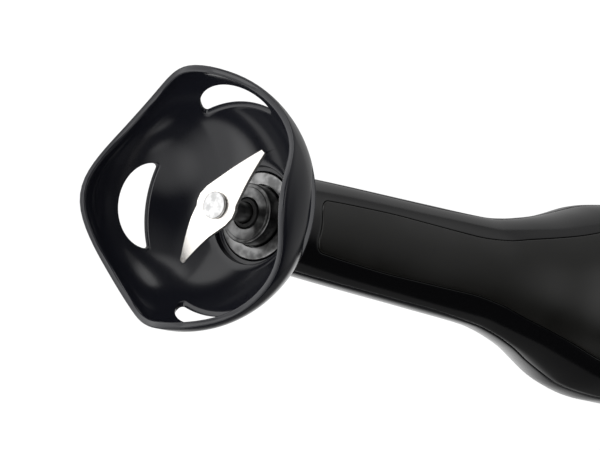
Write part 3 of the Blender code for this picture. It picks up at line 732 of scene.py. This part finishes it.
def make_blade():
    """Two wings bent away from the mouth, each ground from behind to an edge on its leading side."""
    half = blade_outline()
    outline = half + [(-x, -y) for x, y in half]
    bm = bmesh.new()
    count = len(outline)
    leading = {len(half) - 1, count - 1}
    nearly_parallel = 0.05
    ground = []
    for index in range(count):
        here, before, after = (Vector(outline[k % count]) for k in (index, index - 1, index + 1))
        normals, insets = [], []
        for low, high, edge in ((before, here, (index - 1) % count), (here, after, index)):
            along = (high - low).normalized()
            normals.append(Vector((-along.y, along.x)))
            insets.append(GRIND_WIDTH if edge in leading else SOFT_EDGE)
        matrix = Matrix(normals)
        if abs(matrix.determinant()) > nearly_parallel:
            ground.append(here + matrix.inverted() @ Vector(insets))
        else:
            ground.append(here + normals[0] * max(insets))
    front, back = BLADE_THICKNESS / 2, -BLADE_THICKNESS / 2
    front_verts = [bm.verts.new((x, y, front)) for x, y in outline]
    edge_verts = [bm.verts.new((x, y, front - BLADE_EDGE)) for x, y in outline]
    back_verts = [bm.verts.new((p.x, p.y, back)) for p in ground]
    bm.faces.new(front_verts)
    bm.faces.new(back_verts)
    for low, high in ((front_verts, edge_verts), (edge_verts, back_verts)):
        for j in range(count):
            k = (j + 1) % count
            bm.faces.new((low[j], low[k], high[k], high[j]))
    bend = WING_LENGTH - WING_START
    for side in (1, -1):
        for fold in range(WING_FOLDS):
            everything = bm.verts[:] + bm.edges[:] + bm.faces[:]
            across = side * (WING_START + bend * fold / WING_FOLDS)
            bmesh.ops.bisect_plane(bm, geom=everything, dist=WELD / 2, plane_co=(across, 0, 0),
                                   plane_no=(1, 0, 0))
    for vert in bm.verts:
        vert.co.z -= WING_LIFT * (max(abs(vert.co.x) - WING_START, 0) / bend) ** WING_CURVE
    place = Matrix.Translation(at(BLADE_PLANE + BLADE_THICKNESS / 2, 0, 0))
    turn = Matrix.Rotation(BLADE_ANGLE, 4, "X")
    upright_turn = Matrix(((0, 0, -1, 0), (1, 0, 0, 0), (0, 1, 0, 0), (0, 0, 0, 1)))
    bm.transform(place @ turn @ upright_turn)
    return make_object(bm, "sharpened_blade", sharp=radians(12))


# Materials
def new_material(name, slot, color, roughness, metallic=0.0, **sockets):
    """Principled material. Further sockets are given by name, with _ for a space."""
    look = bpy.data.materials.new(name)
    look.use_nodes = True
    look["slot"] = slot
    shader = look.node_tree.nodes["Principled BSDF"]
    shader.inputs["Base Color"].default_value = (*color, 1)
    shader.inputs["Roughness"].default_value = roughness
    shader.inputs["Metallic"].default_value = metallic
    for socket, value in sockets.items():
        shader.inputs[socket.replace("_", " ")].default_value = value
    return look, look.node_tree, shader


def object_coordinates(tree, stretch=(1, 1, 1)):
    """Places in metres, stretched along each axis."""
    place = tree.nodes.new("ShaderNodeTexCoord").outputs["Object"]
    mapping = tree.nodes.new("ShaderNodeMapping")
    tree.links.new(place, mapping.inputs["Vector"])
    mapping.inputs["Scale"].default_value = stretch
    return mapping.outputs["Vector"]


def noise(tree, vector, scale, detail=3.0):
    """Cloudy value over a vector, with scale clouds to a metre."""
    node = tree.nodes.new("ShaderNodeTexNoise")
    tree.links.new(vector, node.inputs["Vector"])
    node.inputs["Scale"].default_value = scale
    node.inputs["Detail"].default_value = detail
    return node.outputs["Fac"]


def mapped(tree, value, easing, *limits):
    """Maps a value that runs between the first two limits onto the last two."""
    node = tree.nodes.new("ShaderNodeMapRange")
    node.interpolation_type = easing
    tree.links.new(value, node.inputs["Value"])
    for socket, number in zip(("From Min", "From Max", "To Min", "To Max"), limits):
        node.inputs[socket].default_value = number
    return node.outputs["Result"]


def ranged(tree, value, low, high):
    """Spreads a noise value, which mostly lies between 0.3 and 0.7, over low to high."""
    return mapped(tree, value, "LINEAR", 0.3, 0.7, low, high)


def fade(tree, value, start, end, low, high):
    """Eases from low to high while value goes from start to end."""
    return mapped(tree, value, "SMOOTHSTEP", start, end, low, high)


def math_node(tree, operation, first, second):
    """Sum, product or the like of two sockets or numbers."""
    node = tree.nodes.new("ShaderNodeMath")
    node.operation = operation
    for socket, value in zip(node.inputs, (first, second)):
        if isinstance(value, (int, float)):
            socket.default_value = value
        else:
            tree.links.new(value, socket)
    return node.outputs["Value"]


def vector_node(tree, operation, first, second=None):
    """Vector maths on a socket and, where the operation takes one, a second vector."""
    node = tree.nodes.new("ShaderNodeVectorMath")
    node.operation = operation
    tree.links.new(first, node.inputs[0])
    if second is not None:
        node.inputs[1].default_value = second
    return node


def bump(tree, shader, height, distance):
    """Relief on the surface, whose height of 0 to 1 stands for distance in metres."""
    node = tree.nodes.new("ShaderNodeBump")
    node.inputs["Strength"].default_value = 1.0
    node.inputs["Distance"].default_value = distance
    tree.links.new(height, node.inputs["Height"])
    tree.links.new(node.outputs["Normal"], shader.inputs["Normal"])


def moulded(name, slot, color, roughness, grain=0.0, grain_size=0.0003, **sockets):
    """Moulded plastic: faint flow marks in its gloss, and a grain where it has one."""
    look, tree, shader = new_material(name, slot, color, roughness, **sockets)
    vector = object_coordinates(tree)
    flow = noise(tree, vector, 45.0)
    tree.links.new(ranged(tree, flow, roughness * 0.85, roughness * 1.15), shader.inputs["Roughness"])
    if grain:
        bump(tree, shader, noise(tree, vector, 1 / grain_size, 2.0), grain)
    return look


def metal(name, slot, color, roughness, lines=(1, 1, 1), line_size=0.0002, relief=0.000004):
    """Worked metal, with fine lines along the axis whose stretch is smallest."""
    look, tree, shader = new_material(name, slot, color, roughness, 1.0)
    marks = noise(tree, object_coordinates(tree, lines), 1 / line_size, 4.0)
    tree.links.new(ranged(tree, marks, roughness * 0.75, roughness * 1.25), shader.inputs["Roughness"])
    bump(tree, shader, marks, relief)
    return look


def turned_metal(name, slot, color, roughness, ring_size=0.00018, relief=0.000003):
    """Metal turned on a lathe, with fine rings round the drive axis."""
    look, tree, shader = new_material(name, slot, color, roughness, 1.0)
    shift = vector_node(tree, "SUBTRACT", object_coordinates(tree), at(0, 0, 0))
    flat = vector_node(tree, "MULTIPLY", shift.outputs["Vector"], (0, 1, 1))
    length = vector_node(tree, "LENGTH", flat.outputs["Vector"])
    outwards = tree.nodes.new("ShaderNodeCombineXYZ")
    tree.links.new(length.outputs["Value"], outwards.inputs["X"])
    rings = noise(tree, outwards.outputs["Vector"], 1 / ring_size, 2.0)
    tree.links.new(ranged(tree, rings, roughness * 0.8, roughness * 1.2), shader.inputs["Roughness"])
    bump(tree, shader, rings, relief)
    return look


def stained_metal(name, slot, dark, light, roughness, patch=0.004, pit_size=0.0002, relief=0.000004):
    """Dull metal with cloudy patches and fine pits."""
    look, tree, shader = new_material(name, slot, (light, light, light), roughness, 1.0)
    cloud = noise(tree, object_coordinates(tree), 1 / patch, 4.0)
    tree.links.new(fade(tree, cloud, 0.35, 0.65, dark, light), shader.inputs["Base Color"])
    bump(tree, shader, noise(tree, object_coordinates(tree), 1 / pit_size, 2.0), relief)
    return look


# Looks by name. Those that share a slot differ in colour and finish.
LOOKS = {
    "black_gloss_plastic": moulded("black_gloss", "black_gloss_plastic", (0.003, 0.003, 0.0036), 0.14),
    "guard_plastic": moulded("guard_gloss", "black_gloss_plastic", (0.009, 0.0095, 0.0135), 0.14),
    "graphite_plastic": moulded("graphite_gloss", "graphite_plastic", (0.018, 0.018, 0.02), 0.16),
    "soft_touch_panel": moulded("soft_touch", "soft_touch_panel", (0.005, 0.0048, 0.0038), 0.34, 0.00001,
                                0.00025),
    "button_plastic": moulded("button_satin", "button_plastic", (0.05, 0.05, 0.052), 0.38, 0.00001, 0.0003),
    "dark_plastic": moulded("dark_plastic", "dark_plastic", (0.03, 0.03, 0.03), 0.5, 0.00002, 0.0005),
    "nylon": moulded("nylon", "nylon", (0.7, 0.68, 0.62), 0.45, 0.00002, 0.0008, Subsurface_Weight=0.1),
    "rubber": moulded("rubber", "rubber", (0.02, 0.02, 0.02), 0.65, 0.00002, 0.0004),
    "steel": turned_metal("turned_steel", "steel", (0.55, 0.55, 0.55), 0.25),
    "ring_steel": stained_metal("stained_ring_steel", "steel", 0.12, 0.34, 0.3),
    "cap_steel": stained_metal("stained_cap_steel", "steel", 0.05, 0.20, 0.3),
    "rivet_steel": stained_metal("hammered_steel", "steel", 0.42, 0.62, 0.3, 0.0014),
    "blade_steel": metal("ground_steel", "blade_steel", (0.86, 0.83, 0.79), 0.25),
    "bronze": metal("sintered_bronze", "bronze", (0.45, 0.30, 0.16), 0.42, relief=0.00001),
    "brass": metal("pressed_brass", "brass", (0.65, 0.5, 0.2), 0.3),
    "copper": metal("enamelled_copper", "copper", (0.72, 0.33, 0.16), 0.3, (0.05, 1, 1), 0.0005, 0.00006),
    "aluminium": metal("cast_aluminium", "aluminium", (0.62, 0.62, 0.63), 0.42, relief=0.00001),
    "lamination_steel": metal("laminations", "lamination_steel", (0.2, 0.2, 0.22), 0.45, (1, 0.02, 0.02),
                              0.0005, 0.00004),
    "carbon": moulded("carbon", "carbon", (0.03, 0.03, 0.035), 0.55, 0.00001, 0.0002),
    "circuit_board": moulded("board_lacquer", "circuit_board", (0.03, 0.16, 0.06), 0.35, 0.00001, 0.0006),
    "capacitor": moulded("capacitor_case", "capacitor", (0.08, 0.2, 0.45), 0.3, 0.00001, 0.001),
}


# Pieces
def make_hub():
    """Bearing ring and cap, seal, shaft and rivet, each turned about the drive axis."""
    ring = [(0.0292, 0.0087, 0.0002), (0.0292, 0.0122, 0.0003), (0.0307, 0.0122, 0), (0.0307, 0.0087, 0)]
    turned_piece("bearing_ring", ring, LOOKS["ring_steel"], ["hub_ring"], steps=128)
    cap = [(0.0243, 0.0044, 0.0002), (0.0243, 0.0072, 0.0001), (0.0245, 0.0073, 0.0001),
           (0.0245, 0.00835, 0.0004), (0.0307, 0.00835, 0), (0.0307, 0.0070, 0), (0.0258, 0.0070, 0),
           (0.0258, 0.0044, 0)]
    turned_piece("domed_bearing_cap", cap, LOOKS["cap_steel"], ["bearing_cap"], steps=128)
    seal = [(0.0236, 0.0030, 0.0002), (0.0240, 0.0040, 0.0003), (0.0262, 0.0040, 0), (0.0262, 0.0066, 0),
            (0.0290, 0.0066, 0), (0.0290, 0.0030, 0)]
    turned_piece("lip_seal", seal, LOOKS["rubber"], ["shaft_seal"])
    shaft = [(0.0137, 0, 0), (0.0137, 0.0024, 0), (0.0141, SHAFT_RADIUS, 0.0002),
             (0.170, SHAFT_RADIUS, 0.0004), (0.170, 0, 0)]
    turned_piece("blade_shaft", shaft, LOOKS["ring_steel"], ["drive_shaft"], "rotor", steps=64)
    head = BLADE_PLANE - GAP
    rivet = [(head - 0.0008, 0, 0), (head - 0.0008, 0.0037, 0.0003), (head, 0.0037, 0.0001),
             (head, 0.0019, 0), (0.0134, 0.0019, 0), (0.0134, 0, 0)]
    turned_piece("rivet_head", rivet, LOOKS["rivet_steel"], ["blade_rivet"], "rotor", steps=64)


def dress_cad_nodes():
    """Gives every CAD node that stays its fine material."""
    for part in frame["record"]["subparts"]:
        node = frame["nodes"][part["node"]]
        node.data.materials.clear()
        node.data.materials.append(LOOKS[part["material_slot"]])


# Studio
FLOOR_DROP = 0.0004
FLOOR_SIZE = 8.0

# Glow of the floor for the object's gloss, as (place where it starts to change, where it ends, from, to)
GLOW_BEFORE_MOUTH = (GUARD_LOW[0] - 0.012, GUARD_LOW[0] + 0.006, 1.1, 0.0)
GLOW_TO_ONE_SIDE = (-0.07, -0.02, 0.02, 0.8)
GLOW_BEYOND = (-0.01, 0.05, 0.0, -0.52)

CAMERA_FROM_RIM = (-0.53077, -0.07712, 0.45083)
CAMERA_FORWARD = Vector((0.78498, 0.10542, -0.61048))
CAMERA_UP = Vector((-0.15712, 0.98707, -0.03158))
CAMERA_LENS = 158.3
CAMERA_SENSOR = 36
CAMERA_CLIP = 0.01
CAMERA_ROLL = radians(0.4)


def make_floor():
    """White floor. The object's gloss meets it dimmer, as flags and cards round a set make it."""
    bm = bmesh.new()
    bmesh.ops.create_grid(bm, x_segments=1, y_segments=1, size=FLOOR_SIZE / 2)
    bmesh.ops.translate(bm, verts=bm.verts, vec=(0, 0, -FLOOR_DROP))
    floor = make_object(bm, "floor")
    look, tree, shader = new_material("floor_white", "", (0.10, 0.10, 0.10), 0.9)
    place = tree.nodes.new("ShaderNodeNewGeometry").outputs["Position"]
    split = tree.nodes.new("ShaderNodeSeparateXYZ")
    tree.links.new(place, split.inputs["Vector"])
    before_mouth = fade(tree, split.outputs["X"], *GLOW_BEFORE_MOUTH)
    one_side = fade(tree, split.outputs["Y"], *GLOW_TO_ONE_SIDE)
    beyond = fade(tree, split.outputs["Y"], *GLOW_BEYOND)
    card = math_node(tree, "ADD", before_mouth, math_node(tree, "ADD", one_side, beyond))
    seen = tree.nodes.new("ShaderNodeLightPath").outputs["Is Camera Ray"]
    tree.links.new(math_node(tree, "MAXIMUM", card, seen), shader.inputs["Emission Strength"])
    shader.inputs["Emission Color"].default_value = (1, 1, 1, 1)
    floor.data.materials.append(look)


# Softboxes on the studio's dome: (azimuth, elevation, inner and outer radius in degrees, radiance)
SOFTBOXES = [(10, 14, 14, 34, 0.3), (13, 82, 1, 36, 1.1), (84, 27, 1, 64, 0.4), (-147, -2, 1, 45, 1.1),
             (-137, 42, 1, 30, 0.9), (176, 3, 13, 26, 2.0), (153, -10, 30, 45, 0.35), (-90, 35, 4, 22, 1.2),
             (103, 17, 8, 24, 1.6)]
SURROUND = 0.012


def make_world():
    """White backdrop for the camera, and soft lamps on a dark dome for the object."""
    world = bpy.data.worlds.new("studio")
    bpy.context.scene.world = world
    world.use_nodes = True
    tree = world.node_tree
    place = tree.nodes.new("ShaderNodeTexCoord").outputs["Generated"]
    seen = tree.nodes.new("ShaderNodeLightPath").outputs["Is Camera Ray"]
    lamps = SURROUND
    for azimuth, elevation, inner, outer, radiance in SOFTBOXES:
        level = cos(radians(elevation))
        axis = (level * cos(radians(azimuth)), level * sin(radians(azimuth)), sin(radians(elevation)))
        toward = vector_node(tree, "DOT_PRODUCT", place, axis)
        box = fade(tree, toward.outputs["Value"], cos(radians(outer)), cos(radians(inner)), 0.0, radiance)
        lamps = math_node(tree, "ADD", box, lamps)
    background = tree.nodes["Background"]
    tree.links.new(math_node(tree, "MAXIMUM", seen, lamps), background.inputs["Strength"])
    background.inputs["Color"].default_value = (1, 1, 1, 1)


def make_camera():
    """Camera placed from the rim's middle, where the photograph was taken from."""
    camera = bpy.data.cameras.new("camera")
    camera.lens = CAMERA_LENS
    camera.sensor_width = CAMERA_SENSOR
    camera.clip_start = CAMERA_CLIP
    right = CAMERA_FORWARD.cross(CAMERA_UP)
    turn = Matrix((right, CAMERA_UP, -CAMERA_FORWARD)).transposed()
    to_rim = -Vector(CAMERA_FROM_RIM)
    turn = Matrix.Rotation(CAMERA_ROLL, 3, to_rim) @ turn
    seat = bpy.data.objects.new("camera", camera)
    seat.matrix_world = Matrix.Translation(at(*CAMERA_FROM_RIM)) @ turn.to_4x4()
    bpy.context.scene.collection.objects.link(seat)
    bpy.context.scene.camera = seat


dress_cad_nodes()
piece(make_guard(), LOOKS["guard_plastic"], ["guard"])
piece(make_front_shell(), LOOKS["black_gloss_plastic"], ["front_shell"])
piece(make_rear_shell(), LOOKS["graphite_plastic"], ["rear_shell"])
piece(make_panel(), LOOKS["soft_touch_panel"], ["front_panel"])
piece(make_end_cap(), LOOKS["black_gloss_plastic"], ["end_cap"])
for button_name, *key_size in BUTTONS:
    piece(make_button(button_name, *key_size), LOOKS["button_plastic"], [button_name], button_name)
piece(make_dial(), LOOKS["button_plastic"], ["speed_dial"], "dial")
piece(make_pointer(), LOOKS["nylon"], [], "dial")
piece(make_dial_marks(), LOOKS["nylon"], [])
gland = [(0.3660, 0.0034, 0.0002), (0.3660, 0.0055, 0.0002), (0.3708, 0.0055, 0), (0.3708, 0.0064, 0.0002),
         (0.3716, 0.0066, 0.0003), (0.3728, 0.0062, 0.0003), (0.3733, 0.0057, 0.0002),
         (0.3740, 0.0061, 0.0003), (0.3748, 0.0060, 0.0003), (0.3753, 0.0055, 0.0002),
         (0.3760, 0.0058, 0.0003), (0.3770, 0.0056, 0.0004), (0.3770, 0.0034, 0.0004)]
turned_piece("ribbed_gland", gland, LOOKS["rubber"], ["cord_gland"], z=-GLAND_DROP)
piece(make_blade(), LOOKS["blade_steel"], ["blade"], "rotor")
make_hub()
make_floor()
make_world()
make_camera()
bpy.context.scene.view_settings.view_transform = "Standard"
